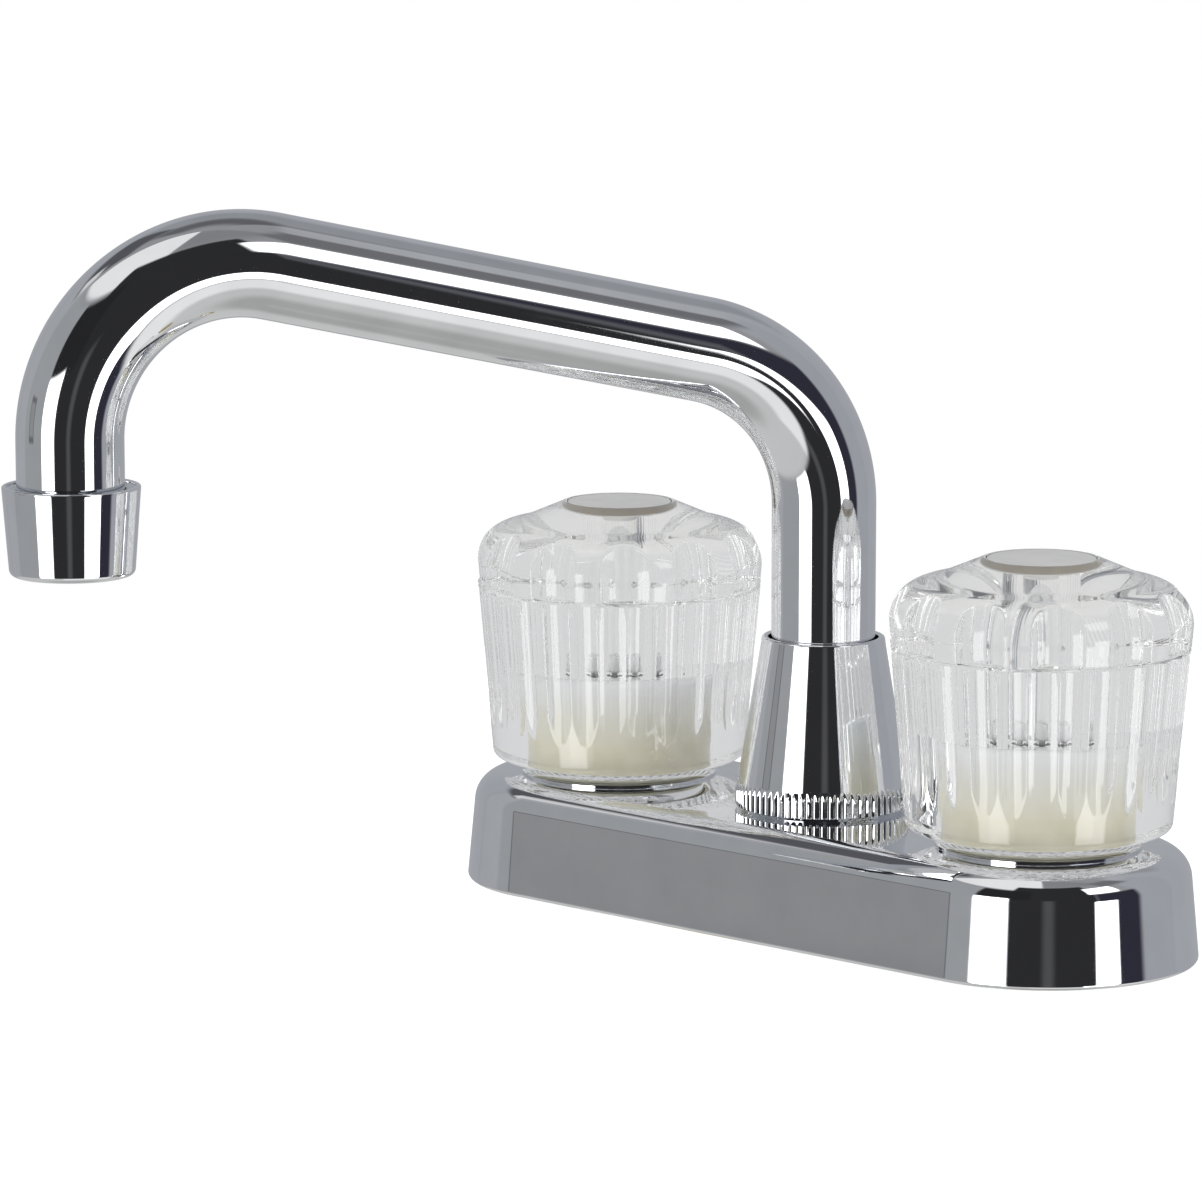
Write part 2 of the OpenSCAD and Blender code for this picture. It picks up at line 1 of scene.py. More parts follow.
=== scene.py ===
# %% [markdown]
# # A utility sink faucet, modelled piece by piece
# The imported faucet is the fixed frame. It gives every size and every place.
# The chromed and clear pieces that the eye rests on are modelled again here, with
# finer edges and smooth walls. The pieces inside stay as they are and get a finish.

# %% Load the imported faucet
import json
import math

import bmesh
import bpy
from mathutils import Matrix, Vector


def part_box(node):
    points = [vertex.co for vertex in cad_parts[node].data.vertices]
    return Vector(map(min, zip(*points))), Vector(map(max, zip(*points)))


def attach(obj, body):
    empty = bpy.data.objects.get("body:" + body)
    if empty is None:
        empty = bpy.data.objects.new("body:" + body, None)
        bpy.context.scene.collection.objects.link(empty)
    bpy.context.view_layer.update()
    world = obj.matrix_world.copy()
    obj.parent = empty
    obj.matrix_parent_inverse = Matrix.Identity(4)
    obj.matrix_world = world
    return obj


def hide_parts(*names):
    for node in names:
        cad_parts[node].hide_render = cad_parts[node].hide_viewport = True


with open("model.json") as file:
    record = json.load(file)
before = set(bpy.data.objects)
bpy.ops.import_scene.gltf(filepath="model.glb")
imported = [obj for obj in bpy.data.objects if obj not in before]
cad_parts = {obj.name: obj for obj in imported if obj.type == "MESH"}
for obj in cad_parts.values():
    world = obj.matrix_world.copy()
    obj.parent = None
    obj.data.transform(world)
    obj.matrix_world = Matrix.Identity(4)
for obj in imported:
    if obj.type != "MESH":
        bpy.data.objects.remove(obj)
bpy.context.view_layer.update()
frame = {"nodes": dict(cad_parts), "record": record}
MM = 0.001

# %% [markdown]
# ## The camera
# A long lens a little over a metre away, looking slightly down from the right.
# The angle, the distance and the lens were worked out from edges that the
# photograph shows, with the knob centres and the tube at their standard sizes.

# %% Set up the camera
VIEW_TURN = math.radians(42.911)
VIEW_RISE = math.radians(9.358)
VIEW_DISTANCE = 1.12585
VIEW_TARGET = Vector((-0.055534, 0, 0.052526))
VIEW_LENS, VIEW_SENSOR = 178.15, 36
VIEW_START = 0.05
to_camera = Vector((
    math.sin(VIEW_TURN) * math.cos(VIEW_RISE),
    -math.cos(VIEW_TURN) * math.cos(VIEW_RISE),
    math.sin(VIEW_RISE),
))
bpy.ops.object.select_all(action="DESELECT")
bpy.ops.object.camera_add(
    location=VIEW_TARGET + to_camera * VIEW_DISTANCE,
    rotation=(-to_camera).to_track_quat("-Z", "Y").to_euler(),
)
camera = bpy.context.object
camera.data.sensor_width = VIEW_SENSOR
camera.data.lens = VIEW_LENS
camera.data.clip_start = VIEW_START
bpy.context.scene.camera = camera
print("camera at", [round(x, 4) for x in camera.location])

# %% [markdown]
# ## Turning a piece from a ring
# Most pieces of a faucet are turned on a lathe. Spinning a drawn outline would do,
# but pulling one ring up again and again keeps the steps easy to follow: extrude
# the ring along the axis, then scale it about the axis to its next radius.


# %% Ring tools
def clear_bench():
    """Leave edit mode and let go of everything."""
    if bpy.context.object and bpy.context.object.mode != "OBJECT":
        bpy.ops.object.mode_set(mode="OBJECT")
    bpy.ops.object.select_all(action="DESELECT")


def start_ring(name, middle, radius, sides):
    """A ring of points, its place in its mesh, open in edit mode."""
    clear_bench()
    bpy.ops.mesh.primitive_circle_add(
        vertices=sides, radius=radius * MM, location=[c * MM for c in middle]
    )
    piece = bpy.context.object
    piece.name = name
    bpy.ops.object.transform_apply(location=True, rotation=True, scale=True)
    bpy.ops.object.mode_set(mode="EDIT")
    bpy.ops.mesh.select_all(action="SELECT")
    return piece


def pull(move):
    """Extrude the ring that is selected."""
    bpy.ops.mesh.extrude_region_move(
        TRANSFORM_OT_translate={"value": [m * MM for m in move]}
    )


def widen(factor, middle):
    """Scale the ring that is selected about its own middle."""
    bpy.ops.transform.resize(
        value=(factor, factor, 1), center_override=[m * MM for m in middle]
    )


def close_ends():
    """Join the first ring and the last one."""
    bpy.ops.mesh.select_all(action="DESELECT")
    bpy.ops.mesh.select_non_manifold(extend=False)
    bpy.ops.mesh.bridge_edge_loops()


def cap_ends():
    """Fill each open ring of the piece."""
    bpy.ops.mesh.select_all(action="SELECT")
    bpy.ops.mesh.fill_holes(sides=0)


# %% Finishing tools
MERGE_WITHIN = 1e-7


def face_outwards():
    """Merge doubled points and turn every face outwards."""
    bpy.ops.mesh.select_all(action="SELECT")
    bpy.ops.mesh.remove_doubles(threshold=MERGE_WITHIN)
    bpy.ops.mesh.normals_make_consistent(inside=False)


def apply_modifier(kind, **settings):
    """Add a modifier to the active piece, set it and apply it."""
    bpy.ops.object.modifier_add(type=kind)
    tool = bpy.context.object.modifiers[-1]
    for name, value in settings.items():
        setattr(tool, name, value)
    bpy.ops.object.modifier_apply(modifier=tool.name)


def polish(piece, crease=35, big_faces_lead=True):
    """Smooth the faces up to the creases, and let the big faces lead the shading."""
    bpy.ops.object.mode_set(mode="OBJECT")
    bpy.ops.object.shade_smooth_by_angle(angle=math.radians(crease))
    if big_faces_lead:
        apply_modifier("WEIGHTED_NORMAL", keep_sharp=True, weight=60)
    print(piece.name, len(piece.data.polygons), "faces")


# %% Turning tools
TURNED_SIDES = 144


def turn(name, axis, outline, sides=TURNED_SIDES, bored=True):
    """Pull one ring along an outline of (radius, height). A bored piece closes on itself."""
    radius, height = outline[0]
    piece = start_ring(name, (*axis, height), radius, sides)
    for r, z in outline[1:]:
        pull((0, 0, z - height))
        widen(r / radius, (*axis, z))
        radius, height = r, z
    if bored:
        close_ends()
    else:
        cap_ends()
    face_outwards()
    bpy.ops.object.mode_set(mode="OBJECT")
    return piece


def copy_to(piece, name, move_x):
    """A copy with a mesh of its own, moved sideways in its mesh."""
    clear_bench()
    piece.select_set(True)
    bpy.context.view_layer.objects.active = piece
    bpy.ops.object.duplicate(linked=False)
    twin = bpy.context.object
    twin.name = name
    bpy.ops.transform.translate(value=(move_x * MM, 0, 0))
    bpy.ops.object.transform_apply(location=True, rotation=True, scale=True)
    return twin


def arc(middle_r, middle_z, radius, start, stop, steps):
    """Points of a rounded edge in the outline, angles in degrees from the radial."""
    angles = [math.radians(start + (stop - start) * i / steps) for i in range(steps + 1)]
    return [(middle_r + radius * math.cos(a), middle_z + radius * math.sin(a)) for a in angles]


def steps_between(low, high, count):
    """Even steps from one height to another, with both ends."""
    return [low + (high - low) * i / count for i in range(count + 1)]


# %% [markdown]
# ## The bent spout
# A length of 3/4 inch chromed tube: up out of the nut, round one bend, out along a
# climbing arm, round a second bend and down to the aerator. A curve with a round
# bevel would be quicker. Extruding a ring and spinning it round the middle of each
# bend follows what the tube bender does, and gives straights and bends that meet
# smoothly.

# %% Bend the spout tube
TUBE_R = 9.525
TUBE_SIDES = 96
TUBE_WALL = 1.2
TUBE_FOOT = 25.0
TUBE_END = 78.7
RISER_END = 76.68
BEND_R = 30.0
FIRST_BEND_STEPS, SECOND_BEND_STEPS = 40, 52
REACH = 139.7
CLIMB = math.radians(12.4)
ARM_LENGTH = 81.6
SWING = math.radians(-120)
away = Vector((math.cos(SWING), math.sin(SWING), 0))
up = Vector((0, 0, 1))
bend_axis = up.cross(away)


def spin_bend(middle, angle, steps):
    """Sweep the ring that is selected round the middle of a bend."""
    bpy.ops.mesh.spin(
        steps=steps, angle=-angle, center=middle * MM, axis=bend_axis, use_auto_merge=False
    )


tube = start_ring("bent_spout", (0, 0, TUBE_FOOT), TUBE_R, TUBE_SIDES)
pull((0, 0, RISER_END - TUBE_FOOT))
spin_bend(away * BEND_R + up * RISER_END, math.radians(90) - CLIMB, FIRST_BEND_STEPS)
pull((away * math.cos(CLIMB) + up * math.sin(CLIMB)) * ARM_LENGTH)
tip_middle_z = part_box("spout_tube")[1].z / MM - TUBE_R - BEND_R
tip_middle = away * (REACH - BEND_R) + up * tip_middle_z
spin_bend(tip_middle, math.radians(90) + CLIMB, SECOND_BEND_STEPS)
pull((0, 0, TUBE_END - tip_middle_z))
face_outwards()
bpy.ops.object.mode_set(mode="OBJECT")
apply_modifier("SOLIDIFY", thickness=TUBE_WALL * MM, offset=-1)
polish(tube)
print("outlet over", [round(x * REACH, 2) for x in away])

# %% [markdown]
# ## The deck plate
# A shell pressed or cast from thin metal, with straight sides, round ends and a
# soft top edge. Bevelling a box would round it, but its walls would stay upright, and
# the real ones lean in a little. So a ring is pulled apart into a straight-sided oval,
# and each new ring is scaled about the two end middles, which draws the sides in
# evenly all round.

# %% Draw the plate's outline
PLATE_END = 51.65
PLATE_HALF = 28.1
PLATE_TOP = 20.5
PLATE_FOOT = 0.3
PLATE_EDGE = 5.5
FOOT_EDGE = 0.8
FOOT_START = 290
PLATE_DRAFT = 5
PLATE_WALL = 2.2
PLATE_SIDES = 160
KNOB_X = 50.8
draft = math.radians(PLATE_DRAFT)
edge_middle = (
    PLATE_HALF
    - (PLATE_TOP - PLATE_EDGE) * math.tan(draft)
    - PLATE_EDGE / math.cos(draft)
)
plate_outline = arc(
    PLATE_HALF - FOOT_EDGE, PLATE_FOOT + FOOT_EDGE, FOOT_EDGE, FOOT_START, 360 + PLATE_DRAFT, 6
)
plate_outline += arc(edge_middle, PLATE_TOP - PLATE_EDGE, PLATE_EDGE, PLATE_DRAFT, 90, 14)
print("plate outline points:", len(plate_outline))


# %% Plate tools
def ring_halves():
    """The selected points at each end of the plate."""
    points = bmesh.from_edit_mesh(bpy.context.object.data)
    chosen = [v for v in points.verts if v.select]
    return points, [[v for v in chosen if v.co.x * side > 0] for side in (-1, 1)]


def at_each_end(action):
    """Do something to one end of the ring, then to the other."""
    mesh, ends = ring_halves()
    for side, end in zip((-1, 1), ends):
        bpy.ops.mesh.select_all(action="DESELECT")
        for v in end:
            v.select = True
        mesh.select_flush_mode()
        action(side)
    for end in ends:
        for v in end:
            v.select = True
    mesh.select_flush_mode()
    bmesh.update_edit_mesh(bpy.context.object.data)


# %% Raise the deck plate
half, level = plate_outline[0]
plate = start_ring("deck_shell", (0, 0, level), half, PLATE_SIDES)
bpy.ops.transform.rotate(
    value=math.pi / PLATE_SIDES, orient_axis="Z", center_override=(0, 0, level * MM)
)
at_each_end(lambda side: bpy.ops.transform.translate(value=(side * PLATE_END * MM, 0, 0)))
for next_half, next_level in plate_outline[1:]:
    pull((0, 0, next_level - level))
    grow = next_half / half
    at_each_end(lambda side: widen(grow, (side * PLATE_END, 0, next_level)))
    half, level = next_half, next_level
bpy.ops.mesh.edge_face_add()
face_outwards()
bpy.ops.object.mode_set(mode="OBJECT")
apply_modifier("SOLIDIFY", thickness=PLATE_WALL * MM, offset=-1)
print("plate", [round(x / MM, 2) for x in plate.dimensions])

# %% Cut the three holes in the plate
VALVE_HOLE, POST_HOLE = 13.7, 12.825
DRILL_SIDES, DRILL_LENGTH, DRILL_MIDDLE = 96, 8, 19.4
clear_bench()
for hole_x, hole_r in ((-KNOB_X, VALVE_HOLE), (0, POST_HOLE), (KNOB_X, VALVE_HOLE)):
    bpy.ops.mesh.primitive_cylinder_add(
        vertices=DRILL_SIDES, radius=hole_r * MM, depth=DRILL_LENGTH * MM,
        location=(hole_x * MM, 0, DRILL_MIDDLE * MM),
    )
    hole = bpy.context.object
    clear_bench()
    plate.select_set(True)
    bpy.context.view_layer.objects.active = plate
    apply_modifier("BOOLEAN", operation="DIFFERENCE", object=hole, solver="EXACT")
    bpy.data.objects.remove(hole)
polish(plate, 30)

# %% [markdown]
# ## The flange rings
# A small chromed ring stands under each knob. Its wall is upright and its foot runs
# out in a hollow sweep. A cylinder with its foot bevelled inwards could pass for it,
# but one outline holds the wall and the sweep together and gives an even mirror. One
# ring is turned, and its copy goes under the other knob.

# %% Turn the flange rings
RING_R = 16.0
RING_BORE = 13.5
RING_SWEEP = 2.4
RING_FOOT = 0.5
RING_TOP, RING_EDGE = 24.5, 0.5
TOE_IN, TOE_UP = 0.1, 0.12
toe_r = RING_R + RING_SWEEP
ring_outline = [(RING_BORE, PLATE_TOP), (toe_r - TOE_IN, PLATE_TOP), (toe_r, PLATE_TOP + TOE_UP)]
ring_outline += arc(toe_r, PLATE_TOP + RING_FOOT + RING_SWEEP, RING_SWEEP, 270, 180, 12)
ring_outline += arc(RING_R - RING_EDGE, RING_TOP - RING_EDGE, RING_EDGE, 0, 90, 6)
ring_outline += [(RING_BORE, RING_TOP)]
hot_ring = turn("hot_skirt_ring", (-KNOB_X, 0), ring_outline)
polish(hot_ring)
flange_rings = {"hot": hot_ring, "cold": copy_to(hot_ring, "cold_skirt_ring", 2 * KNOB_X)}

# %% [markdown]
# ## The spout nut
# A cone with a knurled foot, drawn down on the spout by hand. The cone is turned
# first. Round grooves are then pressed into its foot, as the knurling wheel does,
# and because the cone draws in, each groove runs out in an arch. Cutting 72 grooves
# with Boolean tools would give the same shape, slower and with rougher edges.


# %% Groove tools
EDGE_BLEND = 0.12


def soft_most(a, b, blend=EDGE_BLEND):
    """The larger of two depths, rounded where they meet."""
    share = min(1, max(0, 0.5 + 0.5 * (a - b) / blend))
    return b + (a - b) * share + blend * share * (1 - share)


def round_groove(across, depth, groove_r):
    """How deep a round groove is at a distance from its middle line."""
    if abs(across) >= groove_r:
        return -1
    return depth - groove_r + math.sqrt(groove_r**2 - across**2)


def grooves(angle, r, count, first, depth, groove_r, blend=EDGE_BLEND):
    """The depth left by the two nearest of a ring of round grooves."""
    pitch = 2 * math.pi / count
    offset = (angle - first * pitch) % pitch
    near = round_groove(r * offset, depth, groove_r)
    next_one = round_groove(r * (pitch - offset), depth, groove_r)
    return soft_most(soft_most(near, next_one, blend), 0, blend)


# %% Draw the nut's outline
NUT_TEETH = 72
NUT_R = 16.025
NUT_VALLEY = 15.6
KNURL_R, KNURL_BLEND = 0.5, 0.04
NUT_FOOT = PLATE_TOP
NUT_BORE, BORE_TOP = 12.725, 38.0
SEAT_R = 14.6
INSTEP_R, INSTEP_Z = 15.325, 21.15
KNURL_LOW, KNURL_MIDDLE = 21.2, 22.4
NUT_TOP = 52.4
NUT_TOP_R = 11.295
NUT_HOLE = 10.095
FLARE_LOW, FLARE_HIGH = 23.4, 26.1
CONE_R, CONE_LEAN = 15.52, 0.1635
TOP_EDGE, HOLE_EDGE = 0.5, 0.3


def flare_r(z):
    """The nut's radius where its upright foot eases into the cone."""
    share = (z - FLARE_LOW) / (FLARE_HIGH - FLARE_LOW)
    share = share**2 * (3 - 2 * share)
    return NUT_R * (1 - share) + (CONE_R + CONE_LEAN * (FLARE_HIGH - z)) * share


nut_outline = [(NUT_BORE, NUT_FOOT), (SEAT_R, NUT_FOOT), (INSTEP_R, INSTEP_Z)]
nut_outline += [(NUT_R - TOE_IN, KNURL_LOW), (NUT_R, KNURL_LOW + TOE_UP), (NUT_R, KNURL_MIDDLE)]
nut_outline += [(flare_r(z), z) for z in steps_between(FLARE_LOW, FLARE_HIGH, 9)]
nut_outline += arc(NUT_TOP_R - TOP_EDGE, NUT_TOP - TOP_EDGE, TOP_EDGE, 8, 90, 6)
nut_outline += arc(NUT_HOLE + HOLE_EDGE, NUT_TOP - HOLE_EDGE, HOLE_EDGE, 90, 180, 4)
nut_outline += [(NUT_HOLE, BORE_TOP), (NUT_BORE, BORE_TOP)]
print("nut outline points:", len(nut_outline))

# %% Turn the nut and press its knurl
SIDES_PER_TOOTH = 10
nut = turn("knurled_nut", (0, 0), nut_outline, NUT_TEETH * SIDES_PER_TOOTH)
for v in nut.data.vertices:
    r = math.hypot(v.co.x, v.co.y) / MM
    if r > NUT_VALLEY and v.co.z > INSTEP_Z * MM:
        angle = math.atan2(v.co.y, v.co.x)
        depth = grooves(angle, r, NUT_TEETH, 0, r - NUT_VALLEY, KNURL_R, KNURL_BLEND)
        v.co.x *= 1 - depth / r
        v.co.y *= 1 - depth / r
polish(nut)
print("teeth", NUT_TEETH)

# %% [markdown]
# ## The aerator housing
# A chromed cup screwed on the end of the spout. Its wall tapers a little, its lower
# edge is rounded, and its thin rim stands clear of the tube. A lip inside the rim
# hides the brass nipple below it. A cone with bevelled ends would look right from
# afar. Turning it from an outline gives the rim, the lip and the bore as well.

# %% Turn the aerator housing
OUTLET_Z = 70.2
HOUSING_TOP = 86.1
HOUSING_FOOT_R = 11.125
HOUSING_R = 12.225
HOUSING_BORE = 10.725
HOUSING_EDGE = 1.2
OUTLET_R, SHELF_Z = 8.825, 73.2
WALL_END_R, WALL_END_Z = 12.215, 85.6
RIM_R, RIM_EDGE, RIM_BEVEL = 11.425, 0.35, 0.1
LIP_R, LIP_LOW, LIP_TOP, LIP_EDGE = 9.8, 84.95, 85.3, 0.15
outlet = [c * REACH for c in away[:2]]
foot_middle = HOUSING_FOOT_R - HOUSING_EDGE
housing_outline = [(OUTLET_R, OUTLET_Z)]
housing_outline += arc(foot_middle, OUTLET_Z + HOUSING_EDGE, HOUSING_EDGE, 270, 360, 8)
housing_outline += [(WALL_END_R, WALL_END_Z)]
housing_outline += arc(HOUSING_R - RIM_EDGE, HOUSING_TOP - RIM_EDGE, RIM_EDGE, 10, 90, 5)
housing_outline += [(RIM_R + RIM_BEVEL / 2, HOUSING_TOP), (RIM_R, HOUSING_TOP - RIM_BEVEL)]
housing_outline += [(RIM_R, LIP_TOP + LIP_EDGE), (RIM_R - LIP_EDGE, LIP_TOP), (LIP_R, LIP_TOP)]
housing_outline += [(LIP_R, LIP_LOW), (HOUSING_BORE, LIP_LOW)]
housing_outline += [(HOUSING_BORE, SHELF_Z), (OUTLET_R, SHELF_Z)]
housing = turn("aerator_cup", outlet, housing_outline)
polish(housing)

# %% [markdown]
# ## The clear knobs
# Each knob is one moulding of clear acrylic: a smooth band at the foot, flutes that
# run out in points, a ring line, a scalloped crown and a cone that holds the index disc.
# Cutting the flutes with Boolean tools leaves thin faces that show in a clear
# material. Turning a close-meshed blank and pressing the flutes into its points
# keeps an even mesh, so light bends evenly through it.

# %% Draw the knob's outline
KNOB_FOOT, KNOB_EDGE = 23.75, 1.5
KNOB_SIDES = 640
CONE_FOOT_R, CONE_FOOT_Z = 23.9, 25.25
WIDEST_R, WIDEST_Z = 27.0, 60.75
LINE_LOW, LINE_HIGH, LINE_CUT = 56.2, 57.0, 0.4
SHOULDER_R, SHOULDER_END = 7.5, 75
KNOB_TOP = 72.25
NECK_R, NECK_EDGE, NECK_SLOPE = 10.2, 0.4, 23
NECK_FOOT, NECK_HEAD = 17.4, 11.2
HOLLOW_R, HOLLOW_MIDDLE = 9.0, (21.707, 77.182)
POCKET_R, POCKET_Z = 9.9, 68.9
WELL_R, WELL_Z = 5.5, 42.0
SOCKET_R, SOCKET_TOP, SCREW_HOLE = 17.2, 41.5, 2.25
BAND_LEVELS = (27.0, 28.6)
FLUTE_TIP, FLUTE_FULL, FLUTE_EVEN = 29.4, 35.5, 37.5
CROWN_LOW, CROWN_HIGH = 57.9, 60.2
MARGIN = 0.1


def cone_r(z):
    """The radius of the plain wall at a height."""
    return CONE_FOOT_R + (WIDEST_R - CONE_FOOT_R) * (z - CONE_FOOT_Z) / (WIDEST_Z - CONE_FOOT_Z)


knob_outline = [(SOCKET_R, KNOB_FOOT)]
knob_outline += arc(CONE_FOOT_R - KNOB_EDGE, KNOB_FOOT + KNOB_EDGE, KNOB_EDGE, 270, 360, 6)
levels = [*BAND_LEVELS, *steps_between(FLUTE_TIP, FLUTE_FULL, 16)]
levels += [*steps_between(FLUTE_EVEN, LINE_LOW - MARGIN, 7), LINE_LOW]
knob_outline += [(cone_r(z), z) for z in levels]
line_middle = (LINE_LOW + LINE_HIGH) / 2
knob_outline += [(cone_r(line_middle) - LINE_CUT, line_middle)]
levels = [LINE_HIGH, LINE_HIGH + MARGIN, *steps_between(CROWN_LOW, CROWN_HIGH, 3)]
knob_outline += [(cone_r(z), z) for z in levels]
knob_outline += arc(WIDEST_R - SHOULDER_R, WIDEST_Z, SHOULDER_R, 0, SHOULDER_END, 30)
print("outline points up to the shoulder:", len(knob_outline))

# %% Draw the neck, the screw well and the socket
knob_outline += arc(*HOLLOW_MIDDLE, HOLLOW_R, 180 + SHOULDER_END, 270 - NECK_SLOPE, 8)
neck_edge = arc(NECK_R, KNOB_TOP - NECK_EDGE, NECK_EDGE, 90 - NECK_SLOPE, 90, 5)
neck_r, neck_z = neck_edge[0]
neck_fall = math.tan(math.radians(NECK_SLOPE))
knob_outline += [(r, neck_z - neck_fall * (r - neck_r)) for r in (NECK_FOOT, NECK_HEAD)]
knob_outline += [*neck_edge, (POCKET_R, KNOB_TOP), (POCKET_R, POCKET_Z), (WELL_R, POCKET_Z)]
knob_outline += [(WELL_R, WELL_Z), (SCREW_HOLE, WELL_Z)]
knob_outline += [(SCREW_HOLE, SOCKET_TOP), (SOCKET_R, SOCKET_TOP)]
print("knob outline points:", len(knob_outline))

# %% Press the flutes and scallops
FLUTES, FLUTE_DEPTH, FLUTE_R, FIRST_FLUTE = 30, 0.75, 4.9, 0.83
SCALLOPS, SCALLOP_DEPTH, SCALLOP_R, FIRST_SCALLOP = 12, 1.7, 7.0, 0.5
SCALLOP_FADE, SCALLOP_END = 10, 62
WALL_INSIDE, CROWN_INSIDE = 23, 19


def press_grooves(knob, axis_x):
    """Push the points of the wall in along the flutes, and those of the crown along the scallops."""
    for v in knob.data.vertices:
        x, y, z = v.co.x / MM - axis_x, v.co.y / MM, v.co.z / MM
        r = math.hypot(x, y)
        angle = math.atan2(y, x)
        lean = 0
        if r > WALL_INSIDE and FLUTE_TIP < z < LINE_LOW - MARGIN / 2:
            run_out = min(1, (z - FLUTE_TIP) / (FLUTE_FULL - FLUTE_TIP))
            depth = grooves(angle, r, FLUTES, FIRST_FLUTE, FLUTE_DEPTH * run_out, FLUTE_R)
        elif r > CROWN_INSIDE and z > LINE_HIGH + MARGIN / 2:
            lean = max(0, math.atan2(z - WIDEST_Z, r - WIDEST_R + SHOULDER_R))
            climb = (math.degrees(lean) - SCALLOP_FADE) / (SCALLOP_END - SCALLOP_FADE)
            if climb >= 1:
                continue
            scallop = SCALLOP_DEPTH * (1 - max(0, climb) ** 2)
            depth = grooves(angle, r, SCALLOPS, FIRST_SCALLOP, scallop, SCALLOP_R)
        else:
            continue
        new_r = r - depth * math.cos(lean)
        v.co.x = (axis_x + x * new_r / r) * MM
        v.co.y = y * new_r / r * MM
        v.co.z = (z - depth * math.sin(lean)) * MM


hot_knob = turn("hot_clear_knob", (-KNOB_X, 0), knob_outline, KNOB_SIDES)
press_grooves(hot_knob, -KNOB_X)
polish(hot_knob, 50, big_faces_lead=False)
knobs = {"hot": hot_knob, "cold": copy_to(hot_knob, "cold_clear_knob", 2 * KNOB_X)}
print("flutes", FLUTES, "scallops", SCALLOPS)

# %% [markdown]
# ## The hubs
# Inside each knob a cream plastic hub takes the key of the stem. Its skirt reaches
# down round the flange ring, so no brass shows below it. It is turned like the rest,
# with a soft top edge, since a sharp one would show through the clear wall.

# %% Turn the hubs
HUB_R, HUB_LOW, HUB_TOP, HUB_EDGE = 17.1, 24.1, 41.4, 1.6
HUB_CHAMFER = 0.1
SKIRT_BORE, SKIRT_TOP = 16.3, 25.3
BONNET_ROOM, BONNET_ROOM_TOP = 14.2, 28.4
KEY_R, KEY_TOP = 4.9, 36.4
HUB_HOLE = 2.3
hub_outline = [(SKIRT_BORE, HUB_LOW), (HUB_R - HUB_CHAMFER, HUB_LOW), (HUB_R, HUB_LOW + HUB_CHAMFER)]
hub_outline += arc(HUB_R - HUB_EDGE, HUB_TOP - HUB_EDGE, HUB_EDGE, 0, 90, 8)
hub_outline += [(HUB_HOLE, HUB_TOP), (HUB_HOLE, KEY_TOP), (KEY_R, KEY_TOP)]
hub_outline += [(KEY_R, BONNET_ROOM_TOP), (BONNET_ROOM, BONNET_ROOM_TOP)]
hub_outline += [(BONNET_ROOM, SKIRT_TOP), (SKIRT_BORE, SKIRT_TOP)]
hot_hub = turn("hot_hub_sleeve", (-KNOB_X, 0), hub_outline)
polish(hot_hub)
hubs = {"hot": hot_hub, "cold": copy_to(hot_hub, "cold_hub_sleeve", 2 * KNOB_X)}

# %% [markdown]
# ## The index discs
# A small cap in the neck of each knob hides its screw. Its face is very slightly
# domed, its rim is rounded, and a skirt below it snaps into the screw well. A bevelled
# cylinder would have a dead flat face and no skirt, so the disc is turned too. Its
# outline runs from the middle of the underside round to the middle of the face, and
# the two small rings that are left in the middle are filled.

# %% Turn the index discs
DISC_R, DISC_EDGE = 9.8, 0.4
DISC_LOW, DISC_LOW_EDGE = 68.95, 0.3
DISC_UNDER = 69.55
SNAP_R, SNAP_BORE, SNAP_LOW = 5.35, 4.35, 64.6
DOME_RISE = 0.05
MIDDLE_R = 0.05
disc_outline = [(MIDDLE_R, DISC_UNDER), (SNAP_BORE, DISC_UNDER), (SNAP_BORE, SNAP_LOW)]
disc_outline += [(SNAP_R, SNAP_LOW), (SNAP_R, DISC_LOW)]
disc_outline += [(DISC_R - DISC_LOW_EDGE, DISC_LOW), (DISC_R, DISC_LOW + DISC_LOW_EDGE)]
disc_outline += arc(DISC_R - DISC_EDGE, KNOB_TOP - DISC_EDGE, DISC_EDGE, 0, 90, 5)
for r, share in ((7.0, 0.4), (3.5, 0.8), (MIDDLE_R, 1)):
    disc_outline += [(r, KNOB_TOP + DOME_RISE * share)]
hot_disc = turn("hot_index_disc", (-KNOB_X, 0), disc_outline, bored=False)
polish(hot_disc)
discs = {"hot": hot_disc, "cold": copy_to(hot_disc, "cold_index_disc", 2 * KNOB_X)}

# %% [markdown]
# ## The seat springs
# Under each rubber seat a small coil spring holds it against the stem. A bevelled
# curve would need its helix worked out point by point. Here a ring of wire section is
# swept up the helix with the Screw modifier, as a coiling machine feeds the wire, and
# its two ends are filled.

# %% Coil the seat springs
SPRING_R = 2.4
WIRE_R, WIRE_SIDES = 0.3, 14
SPRING_TURNS, STEPS_PER_TURN = 3, 32
SPRING_LOW, SPRING_HIGH = -2.95, 0.95
SEAT_OFFSET = 4.8
clear_bench()
bpy.ops.mesh.primitive_circle_add(
    vertices=WIRE_SIDES, radius=WIRE_R * MM, fill_type="NGON", rotation=(math.pi / 2, 0, 0),
    location=(SPRING_R * MM, 0, 0),
)
hot_coil = bpy.context.object
hot_coil.name = "hot_seat_coil"
bpy.ops.object.transform_apply(location=True, rotation=True, scale=True)
apply_modifier(
    "SCREW", axis="Z", angle=2 * math.pi, iterations=SPRING_TURNS,
    steps=STEPS_PER_TURN, render_steps=STEPS_PER_TURN,
    screw_offset=(SPRING_HIGH - SPRING_LOW - 2 * WIRE_R) / SPRING_TURNS * MM,
)
coil_x = SEAT_OFFSET - KNOB_X
bpy.ops.transform.translate(value=(coil_x * MM, 0, (SPRING_LOW + WIRE_R) * MM))
bpy.ops.object.transform_apply(location=True, rotation=True, scale=True)
bpy.ops.object.mode_set(mode="EDIT")
cap_ends()
face_outwards()
polish(hot_coil, 60)
